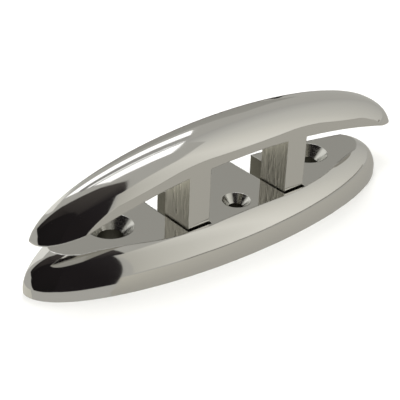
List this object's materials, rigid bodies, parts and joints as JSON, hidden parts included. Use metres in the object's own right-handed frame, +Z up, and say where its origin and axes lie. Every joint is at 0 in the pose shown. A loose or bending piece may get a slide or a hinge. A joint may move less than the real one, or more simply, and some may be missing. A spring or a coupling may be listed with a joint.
{
  "type": "folding mooring cleat",
  "caption": "Flip-up mooring cleat: long oval polished base with a sunk plate, and an arched horn on two legs that folds back flush.",
  "frame": {"origin": "middle of the base's underside, which stands on the deck", "axes": "+X along the cleat, +Z up off the deck, +Y towards the back, where the horn folds down"},
  "size_m": [0.154, 0.037, 0.044],
  "materials": {
    "polished_casting": "mirror polished 316 stainless steel casting",
    "turned_pin": "turned stainless steel",
    "friction_washer": "dark acetal friction washer",
    "keeper_plate": "stamped stainless steel",
    "screws": "machined stainless steel"
  },
  "bodies": {
    "base": {"base": "polished_casting", "hinge_pin_left": "turned_pin", "hinge_pin_right": "turned_pin", "leg_washer_left_inner": "friction_washer", "leg_washer_left_outer": "friction_washer", "leg_washer_right_inner": "friction_washer", "leg_washer_right_outer": "friction_washer", "pin_keeper_left_inner": "keeper_plate", "pin_keeper_left_outer": "keeper_plate", "pin_keeper_right_inner": "keeper_plate", "pin_keeper_right_outer": "keeper_plate", "keeper_screw_left_inner_front": "screws", "keeper_screw_left_inner_back": "screws", "keeper_screw_left_outer_front": "screws", "keeper_screw_left_outer_back": "screws", "keeper_screw_right_inner_front": "screws", "keeper_screw_right_inner_back": "screws", "keeper_screw_right_outer_front": "screws", "keeper_screw_right_outer_back": "screws"},
    "horn": {"horn": "polished_casting"}
  },
  "joints": [
    {"name": "horn_fold", "type": "hinge", "parent": "base", "child": "horn", "pos_m": [0, -0.0116, 0.008], "axis": [-1, 0, 0], "range_deg": [0, 90]}
  ]
}
